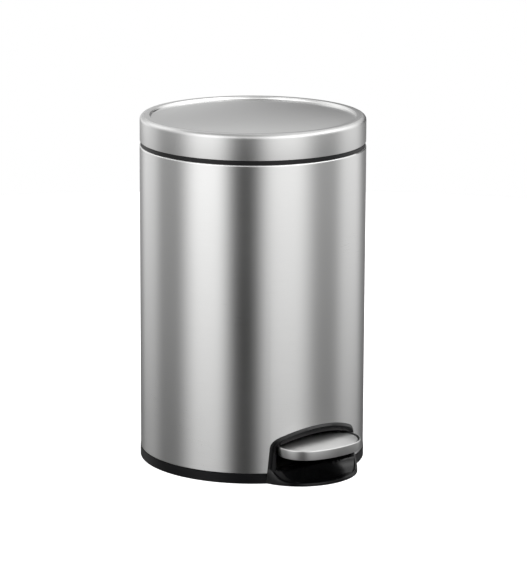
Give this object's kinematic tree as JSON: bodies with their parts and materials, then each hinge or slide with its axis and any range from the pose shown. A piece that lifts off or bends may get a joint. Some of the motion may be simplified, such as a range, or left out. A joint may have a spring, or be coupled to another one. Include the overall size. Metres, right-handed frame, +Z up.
{
  "type": "pedal trash can",
  "caption": "Round brushed-steel pedal bin: hinged sunk lid, black base, arched pedal housing with a steel pedal, push rod and lift-out inner bucket.",
  "frame": {"origin": "on the can's axis at floor level, at the centre of the rubber ring that the bin stands on", "axes": "+Z up along the can's axis, -Y towards the pedal, +Y towards the lid's hinge, +X to the right of someone who faces the pedal from the can"},
  "size_m": [0.2508, 0.297, 0.3865],
  "materials": {
    "body_steel": "satin brushed",
    "lid_steel": "satin brushed",
    "pedal_steel": "satin brushed",
    "base_plastic": "fine matte texture",
    "housing_plastic": "satin",
    "ring_plastic": "satin",
    "hinge_plastic": "satin",
    "liner_plastic": "matte",
    "core_plastic": "matte",
    "bucket_plastic": "matte",
    "rubber": "matte",
    "zinc_steel": "zinc plated",
    "nylon": "natural nylon"
  },
  "bodies": {
    "can": {"body_shell": "body_steel", "base_pan": "base_plastic", "non_slip_ring": "rubber", "top_ring": "ring_plastic", "pedal_housing": "housing_plastic", "housing_screws": "zinc_steel", "pedal_axle": "zinc_steel", "axle_clips": "zinc_steel", "hinge_housing": "hinge_plastic", "hinge_plate": "zinc_steel", "hinge_screws": "zinc_steel", "hinge_pin": "zinc_steel", "rod_guide_lower": "nylon", "rod_guide_upper": "nylon"},
    "pedal": {"pedal_cap": "pedal_steel", "pedal_core": "core_plastic", "pedal_lever": "zinc_steel", "lever_rivets": "zinc_steel", "pedal_hub": "nylon", "lever_shoe": "nylon"},
    "rod": {"push_rod": "zinc_steel", "rod_clip": "zinc_steel", "rod_foot": "nylon"},
    "lid": {"lid_shell": "lid_steel", "lid_liner": "liner_plastic", "lid_bracket": "hinge_plastic", "lid_screws": "zinc_steel", "lid_bumpers": "rubber"},
    "bucket": {"inner_bucket": "bucket_plastic"}
  },
  "joints": [
    {"name": "lid_hinge", "type": "hinge", "parent": "can", "child": "lid", "pos_m": [0, 0.131, 0.366], "axis": [-1, 0, 0], "range_deg": [0, 85]},
    {"name": "pedal_tilt", "type": "hinge", "parent": "can", "child": "pedal", "pos_m": [0, -0.035, 0.023], "axis": [1, 0, 0], "range_deg": [0, 7.06]},
    {"name": "rod_slide", "type": "slide", "parent": "can", "child": "rod", "axis": [0, 0, 1], "range_m": [0, 0.01926]},
    {"name": "bucket_lift", "type": "slide", "parent": "can", "child": "bucket", "axis": [0, 0, 1], "range_m": [0, 0.018]}
  ],
  "couplings": [
    {"joint": "pedal_tilt", "follows": "lid_hinge", "ratio": 0.082993},
    {"joint": "rod_slide", "follows": "lid_hinge", "m_per_rad": 0.012971}
  ]
}
